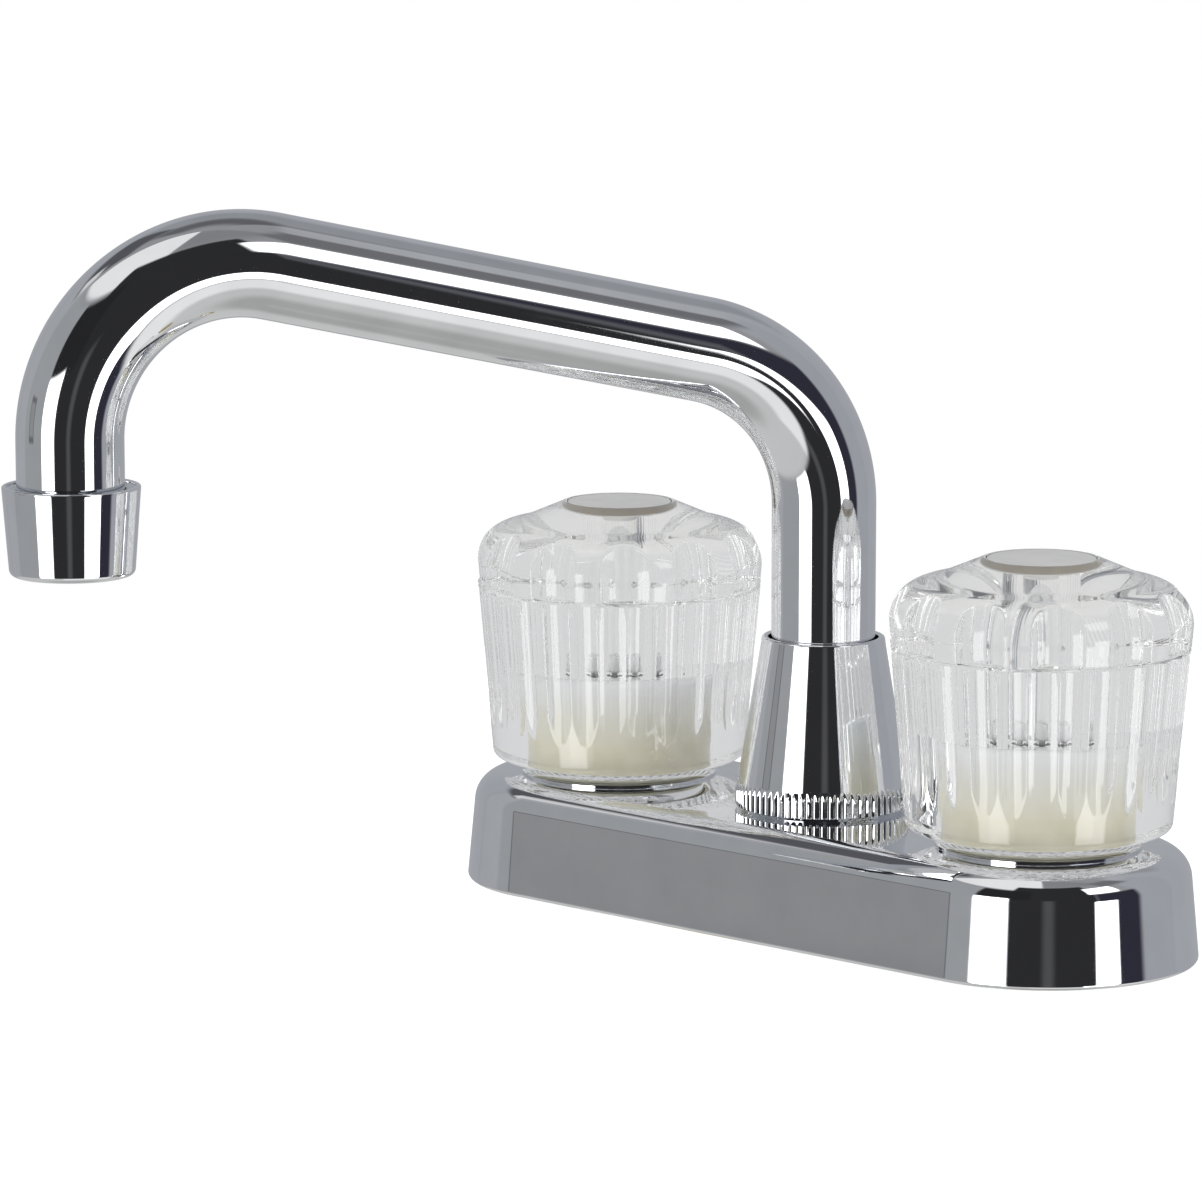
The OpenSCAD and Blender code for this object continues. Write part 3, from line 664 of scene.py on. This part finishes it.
coils = {"hot": hot_coil, "cold": copy_to(hot_coil, "cold_seat_coil", -2 * coil_x)}

# %% [markdown]
# ## Finishes
# The faucet is polished chrome outside and machined brass inside, with zinc springs,
# clear, cream, grey and white plastic, and rubber seals. Painted textures would show
# seams where they meet. Every finish here is made of nodes that read Object
# coordinates, so it has no seams and stays on the piece when the piece moves. Values
# that are the same all over are set on the shader itself.


# %% Grain tools
GRAIN_LOW, GRAIN_HIGH = 0.3, 0.7


def new_finish(name):
    """A new material with its nodes, its links and its shader."""
    finish = bpy.data.materials.new(name)
    finish.use_nodes = True
    nodes, links = finish.node_tree.nodes, finish.node_tree.links
    return finish, nodes, links, nodes["Principled BSDF"]


def grain(nodes, links, size_mm, detail=3.0, stretch=(1, 1, 1)):
    """Noise in the piece's own coordinates, with grains about size_mm across."""
    place = nodes.new("ShaderNodeTexCoord")
    spread = nodes.new("ShaderNodeMapping")
    spread.inputs["Scale"].default_value = stretch
    noise = nodes.new("ShaderNodeTexNoise")
    noise.inputs["Scale"].default_value = 1 / (size_mm * MM)
    noise.inputs["Detail"].default_value = detail
    links.new(place.outputs["Object"], spread.inputs["Vector"])
    links.new(spread.outputs["Vector"], noise.inputs["Vector"])
    return noise.outputs["Fac"]


def between(nodes, links, source, low, high):
    """A number that follows the grain from a low value to a high one."""
    ranger = nodes.new("ShaderNodeMapRange")
    ranger.inputs["From Min"].default_value = GRAIN_LOW
    ranger.inputs["From Max"].default_value = GRAIN_HIGH
    ranger.inputs["To Min"].default_value = low
    ranger.inputs["To Max"].default_value = high
    links.new(source, ranger.inputs["Value"])
    return ranger.outputs["Result"]


def tint(nodes, links, source, dark, light):
    """A colour that follows the grain from dark to light."""
    ramp = nodes.new("ShaderNodeValToRGB")
    ramp.color_ramp.elements[0].position = GRAIN_LOW
    ramp.color_ramp.elements[1].position = GRAIN_HIGH
    ramp.color_ramp.elements[0].color = (*dark, 1)
    ramp.color_ramp.elements[1].color = (*light, 1)
    links.new(source, ramp.inputs["Fac"])
    return ramp.outputs["Color"]


def relief(nodes, links, shader, source, strength, depth_mm):
    """A shallow relief that follows the grain."""
    bump = nodes.new("ShaderNodeBump")
    bump.inputs["Strength"].default_value = strength
    bump.inputs["Distance"].default_value = depth_mm * MM
    links.new(source, bump.inputs["Height"])
    links.new(bump.outputs["Normal"], shader.inputs["Normal"])


# %% Finish tools
MIX_SHARE, MIX_UNDER, MIX_OVER, MIX_RESULT = 0, 6, 7, 2


def speckled(name, dark, light, size_mm, rough, metal=0.0, bump=(0.1, 0.05), stretch=(1, 1, 1)):
    """A finish whose colour, roughness and relief vary with one grain."""
    finish, nodes, links, shader = new_finish(name)
    source = grain(nodes, links, size_mm, stretch=stretch)
    links.new(tint(nodes, links, source, dark, light), shader.inputs["Base Color"])
    links.new(between(nodes, links, source, *rough), shader.inputs["Roughness"])
    shader.inputs["Metallic"].default_value = metal
    relief(nodes, links, shader, source, *bump)
    return finish, nodes, links, shader


def take_over(nodes, links, shader, colour, from_mm, to_mm):
    """Let one more colour take over between two heights, going up or down."""
    paint = shader.inputs["Base Color"].links[0].from_socket
    place = nodes.new("ShaderNodeTexCoord")
    height = nodes.new("ShaderNodeSeparateXYZ")
    links.new(place.outputs["Object"], height.inputs["Vector"])
    share = nodes.new("ShaderNodeMapRange")
    share.inputs["From Min"].default_value = min(from_mm, to_mm) * MM
    share.inputs["From Max"].default_value = max(from_mm, to_mm) * MM
    share.inputs["To Min"].default_value = 0 if from_mm < to_mm else 1
    share.inputs["To Max"].default_value = 1 if from_mm < to_mm else 0
    links.new(height.outputs["Z"], share.inputs["Value"])
    mixed = nodes.new("ShaderNodeMix")
    mixed.data_type = "RGBA"
    mixed.inputs[MIX_OVER].default_value = (*colour, 1)
    links.new(share.outputs["Result"], mixed.inputs[MIX_SHARE])
    links.new(paint, mixed.inputs[MIX_UNDER])
    links.new(mixed.outputs[MIX_RESULT], shader.inputs["Base Color"])


# %% Metal finishes
chrome, *_ = speckled(
    "polished_chrome", (0.80, 0.81, 0.83), (0.86, 0.87, 0.89), 9, (0.02, 0.045), 1.0, (0.012, 0.3)
)
brass, *_ = speckled(
    "machined_brass", (0.48, 0.33, 0.13), (0.66, 0.49, 0.22), 3, (0.22, 0.38), 1.0, (0.15, 0.05),
    stretch=(1, 1, 6),
)
steel, *_ = speckled(
    "bright_zinc", (0.74, 0.75, 0.76), (0.84, 0.85, 0.86), 2, (0.35, 0.5), 0.3, (0.1, 0.03)
)
print("metals:", chrome.name, brass.name, steel.name)

# %% Rubber and white plastic
rubber, *_ = speckled(
    "black_rubber", (0.012, 0.012, 0.013), (0.03, 0.03, 0.032), 0.6, (0.55, 0.75)
)
white_plastic, *_ = speckled(
    "white_plastic", (0.70, 0.70, 0.68), (0.78, 0.78, 0.76), 1.5, (0.35, 0.5)
)
print("below the deck:", rubber.name, white_plastic.name)

# %% [markdown]
# ## The finishes of the knobs
# All that a clear knob holds shows through it. The cream hub is painted paler towards
# its top, a painted light that lets it melt into the bright room seen through the clear
# wall. The silver grey disc has a painted brown shade round its rim, where its edge lies
# in shadow, and a light underside. Painting faces one by one would leave hard borders,
# so one more colour takes over between two heights.

# %% Knob finishes
ACRYLIC_IOR = 1.49
# Painted light: the hub turns from cream to pale grey towards its top, so it melts into the bright
# room seen round it through the clear wall.
HUB_PAINTED_LIGHT = (0.80, 0.81, 0.82)
HUB_PAINTED_LIGHT_FROM, HUB_PAINTED_LIGHT_TO = 28, 40
# Painted shade: the disc's rim turns brown-grey below its face, standing in for the shadow its edge
# lies in.
RIM_PAINTED_SHADE = (0.36, 0.325, 0.275)
RIM_PAINTED_SHADE_FROM, RIM_PAINTED_SHADE_TO = 71.97, 71.85
UNDER_LIGHT = (0.72, 0.72, 0.70)
UNDER_LIGHT_FROM, UNDER_LIGHT_TO = 69.5, 69.2
cream_plastic, nodes, links, shader = speckled(
    "cream_plastic", (0.62, 0.59, 0.45), (0.70, 0.67, 0.54), 5, (0.4, 0.55)
)
# Painted light on the hub: paler towards its top.
take_over(nodes, links, shader, HUB_PAINTED_LIGHT, HUB_PAINTED_LIGHT_FROM, HUB_PAINTED_LIGHT_TO)
acrylic, nodes, links, shader = speckled(
    "clear_acrylic", (0.965, 0.97, 0.965), (0.985, 0.985, 0.98), 14, (0.005, 0.02), 0.0, (0.01, 0.2),
    stretch=(1, 1, 0.4),
)
shader.inputs["Transmission Weight"].default_value = 1.0
shader.inputs["IOR"].default_value = ACRYLIC_IOR
grey_disc_and_rim_shade, nodes, links, shader = speckled(
    "grey_disc_and_rim_shade", (0.37, 0.365, 0.36), (0.40, 0.395, 0.385), 9, (0.18, 0.24), 0.0, (0.02, 0.02)
)
# Painted shade on the disc: brown-grey round its rim.
take_over(nodes, links, shader, RIM_PAINTED_SHADE, RIM_PAINTED_SHADE_FROM, RIM_PAINTED_SHADE_TO)
take_over(nodes, links, shader, UNDER_LIGHT, UNDER_LIGHT_FROM, UNDER_LIGHT_TO)
print("on the knobs:", cream_plastic.name, acrylic.name, grey_disc_and_rim_shade.name)

# %% [markdown]
# ## Joining the pieces to the faucet
# Each modelled piece rides on a body of the frame and stands for its plain solid.
# The wall of a disc's pocket carries the disc's finish as well, and with it the painted
# shade on the disc's rim. Left clear, it mirrors light there and hides the shaded brown
# edge that the real disc shows.

# %% Match the finishes with the slots
FINISH_OF_SLOT = {
    "chrome": chrome,
    "brass": brass,
    "steel": steel,
    "rubber": rubber,
    "clear_acrylic": acrylic,
    "cream_plastic": cream_plastic,
    "white_plastic": white_plastic,
    "grey_plastic": grey_disc_and_rim_shade,
}
print("slots:", len(FINISH_OF_SLOT))

# %% Put the pieces on their bodies
KNOB_AXES = {"hot": -KNOB_X, "cold": KNOB_X}
NEAR_WALL = 0.05


def fit(piece, body, node, slot):
    """Give a piece its finish and let it stand for its node on a body."""
    piece.data.materials.clear()
    piece.data.materials.append(FINISH_OF_SLOT[slot])
    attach(piece, body)
    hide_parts(node)
    print(node, "is shown by", piece.name)


def line_pocket_with_rim_shade(knob, axis_x):
    """Give the wall of the disc's pocket the disc's finish, with its painted rim shade."""
    knob.data.materials.append(grey_disc_and_rim_shade)
    for face in knob.data.polygons:
        r = math.hypot(face.center.x / MM - axis_x, face.center.y / MM)
        if abs(r - POCKET_R) < NEAR_WALL:
            face.material_index = 1


fit(tube, "spout", "spout_tube", "chrome")
fit(housing, "spout", "aerator_housing", "chrome")
fit(plate, "base", "deck_plate", "chrome")
fit(nut, "base", "spout_nut", "chrome")
for side, axis_x in KNOB_AXES.items():
    fit(flange_rings[side], "base", f"{side}_flange_ring", "chrome")
    fit(coils[side], "base", f"{side}_seat_spring", "steel")
    fit(knobs[side], f"{side}_handle", f"{side}_knob", "clear_acrylic")
    # The pocket wall takes the disc's painted rim shade.
    line_pocket_with_rim_shade(knobs[side], axis_x)
    fit(hubs[side], f"{side}_handle", f"{side}_knob_hub", "cream_plastic")
    fit(discs[side], f"{side}_handle", f"{side}_index_button", "grey_plastic")

# %% Finish the pieces that stay as they are
for part in frame["record"]["subparts"]:
    node = frame["nodes"][part["node"]]
    for slot in node.material_slots:
        slot.material = FINISH_OF_SLOT[part["material_slot"]]

# %% [markdown]
# ## The studio
# Chrome shows the room more than itself. Lamps and white planes could be set round the
# faucet, but from other sides they would stand in the way. So the room is drawn in the
# world: soft cards by direction, as a photographer would hang them. Seen directly it
# is plain white.

# %% List the studio cards
ROOM_GREY = (0.32, 0.32, 0.33)
# each card: its azimuths from and to, its elevations from and to, soft edge, colour
CARDS = {
    "table": (-180, 180, -90, -27, 5, (0.60, 0.60, 0.59)),
    "table_front": (-60, 40, -47, -27, 4, (0.88, 0.88, 0.87)),
    "table_under": (-180, 180, -90, -66, 8, (0.42, 0.42, 0.41)),
    "far_wall": (62, 180, -27, 58, 6, (0.39, 0.405, 0.43)),
    "far_wall_top": (85, 180, 36, 58, 6, (0.30, 0.31, 0.33)),
    "left_corner": (-180, -150, -27, 45, 4, (0.40, 0.41, 0.43)),
    "left_wall": (-152, -102, -27, 43, 3, (0.35, 0.36, 0.37)),
    "pane_frame": (-139, -125.5, -7, 8, 0.7, (0.16, 0.16, 0.17)),
    "pane": (-137.5, -127, -5, 6, 0.7, (0.285, 0.29, 0.295)),
    "upper_back": (80, 180, 60, 78, 6, (0.13, 0.13, 0.14)),
    "ceiling_right": (-50, 20, 58, 90, 8, (0.25, 0.25, 0.26)),
    "overhead_box": (-150, -50, 46, 90, 2, (0.88, 0.88, 0.88)),
    "corner_shade": (160, 200, 36, 60, 3, (0.10, 0.10, 0.11)),
    "corner_gleam": (-170, -158, 38, 47, 2, (0.7, 0.7, 0.7)),
    "dark_room": (-77, -8, -27, 58, 2, (0.028, 0.028, 0.030)),
    "dark_corner": (-104, -60, 12, 43, 2, (0.022, 0.022, 0.024)),
    "stand": (-50, -42, -27, 10, 3, (0.085, 0.085, 0.085)),
    "front_window": (-104, -77, -26, 14, 2, (4.5, 4.5, 4.5)),
    "right_panel": (27, 64, -26, 58, 5, (0.37, 0.38, 0.41)),
    "high_panel": (12, 46, 49, 64, 4, (0.17, 0.17, 0.18)),
    "high_gleam": (48, 82, 54, 64, 4, (0.42, 0.43, 0.45)),
    "seam": (-8, 29, -27, 27, 3, (0.03, 0.03, 0.045)),
    "side_strip": (-10, 8, -16, 2, 1.5, (4.5, 4.5, 4.5)),
    "side_step": (-19, 8, -26, -14, 1.5, (4.5, 4.5, 4.5)),
    "side_box": (-12, 16, 29, 48, 2, (3.0, 3.0, 3.0)),
}
print("cards:", len(CARDS))

# %% Studio tools
world = bpy.data.worlds.new("studio")
bpy.context.scene.world = world
world.use_nodes = True
world.cycles.sampling_method = "NONE"
nodes, links = world.node_tree.nodes, world.node_tree.links


def figure(operation, *values):
    """A Math node fed with numbers or with other nodes."""
    node = nodes.new("ShaderNodeMath")
    node.operation = operation
    for socket, value in zip(node.inputs, values):
        if isinstance(value, (int, float)):
            socket.default_value = value
        else:
            links.new(value, socket)
    return node.outputs["Value"]


def within(angle, low, high, soft):
    """One between two angles, with a soft edge, and nought outside."""
    off = figure("SUBTRACT", angle, (low + high) / 2)
    node = nodes.new("ShaderNodeMapRange")
    node.interpolation_type = "SMOOTHSTEP"
    node.inputs["From Min"].default_value = (high - low) / 2 - soft
    node.inputs["From Max"].default_value = (high - low) / 2 + soft
    node.inputs["To Min"].default_value = 1
    node.inputs["To Max"].default_value = 0
    links.new(figure("ABSOLUTE", figure("WRAP", off, 180, -180)), node.inputs["Value"])
    return node.outputs["Result"]


def layer(share, under, over):
    """One colour laid over another."""
    node = nodes.new("ShaderNodeMix")
    node.data_type = "RGBA"
    for number, value in ((MIX_SHARE, share), (MIX_UNDER, under), (MIX_OVER, over)):
        socket = node.inputs[number]
        if isinstance(value, tuple):
            socket.default_value = (*value, 1)
        elif isinstance(value, (int, float)):
            socket.default_value = value
        else:
            links.new(value, socket)
    return node.outputs[MIX_RESULT]


# %% Hang the cards by direction
DEGREES = 180 / math.pi
look = nodes.new("ShaderNodeTexCoord")
parts = nodes.new("ShaderNodeSeparateXYZ")
links.new(look.outputs["Generated"], parts.inputs["Vector"])
azimuth = figure("MULTIPLY", figure("ARCTAN2", parts.outputs["Y"], parts.outputs["X"]), DEGREES)
elevation = figure("MULTIPLY", figure("ARCSINE", parts.outputs["Z"]), DEGREES)
glow = ROOM_GREY
for az_from, az_to, el_from, el_to, soft, colour in CARDS.values():
    card = figure(
        "MULTIPLY", within(azimuth, az_from, az_to, soft), within(elevation, el_from, el_to, soft)
    )
    glow = layer(card, glow, colour)
print("world nodes:", len(nodes))

# %% Light the room for each kind of ray
THROUGH_GLASS, THROUGH_SHARE = (0.83, 0.83, 0.83), 0.7
MATTE_LIGHT = (1.6, 1.6, 1.6)
BACKDROP = (1.0, 1.0, 1.0)
path = nodes.new("ShaderNodeLightPath")
even = layer(THROUGH_SHARE, glow, THROUGH_GLASS)
glow = layer(path.outputs["Is Transmission Ray"], glow, even)
matte = figure("MINIMUM", path.outputs["Diffuse Depth"], 1)
glow = layer(matte, glow, MATTE_LIGHT)
glow = layer(path.outputs["Is Camera Ray"], glow, BACKDROP)
links.new(glow, nodes["Background"].inputs["Color"])
print("light on matte pieces:", MATTE_LIGHT[0])

# %% [markdown]
# ## The floor
# A plain pale disc at deck height. It carries the faucet, hides the shanks that go
# through a real sink deck, and takes a faint shadow. A matte floor alone would turn
# grey next to the white room, so it also glows a little where it is seen directly.

# %% Lay the floor
FLOOR_R, FLOOR_SIDES = 0.3, 96
clear_bench()
bpy.ops.mesh.primitive_circle_add(
    vertices=FLOOR_SIDES, radius=FLOOR_R, fill_type="NGON", location=(0, 0, 0)
)
floor = bpy.context.object
floor.name = "floor"
print("floor", round(2 * FLOOR_R, 2), "m across")

# %% Make the floor almost shadowless
FLOOR_GREY = (0.80, 0.80, 0.80, 1)
FLOOR_ROUGH = 0.9
FLOOR_SHINE, SHINE_SHARE = 1.25, 0.75
pale, nodes, links, shader = new_finish("pale_floor")
shader.inputs["Base Color"].default_value = FLOOR_GREY
shader.inputs["Roughness"].default_value = FLOOR_ROUGH
shine = nodes.new("ShaderNodeEmission")
shine.inputs["Strength"].default_value = FLOOR_SHINE
faint = nodes.new("ShaderNodeMixShader")
faint.inputs["Fac"].default_value = SHINE_SHARE
links.new(shader.outputs["BSDF"], faint.inputs[1])
links.new(shine.outputs["Emission"], faint.inputs[2])
pick = nodes.new("ShaderNodeMixShader")
ray = nodes.new("ShaderNodeLightPath")
links.new(ray.outputs["Is Camera Ray"], pick.inputs["Fac"])
links.new(shader.outputs["BSDF"], pick.inputs[1])
links.new(faint.outputs["Shader"], pick.inputs[2])
links.new(pick.outputs["Shader"], nodes["Material Output"].inputs["Surface"])
floor.data.materials.append(pale)
floor.visible_glossy = False
floor.visible_transmission = False
bpy.context.scene.view_settings.view_transform = "Standard"
print("floor finish:", pale.name)

# %% [markdown]
# ## Light inside the knobs
# Light that enters a clear knob is thrown from wall to wall many times before it
# leaves. Cut short, such a path turns black, so more turns are allowed.

# %% Let light turn often enough
tracing = bpy.context.scene.cycles
tracing.max_bounces = 32
tracing.glossy_bounces = 16
tracing.transmission_bounces = 24
print("turns of light inside the knobs:", tracing.glossy_bounces)
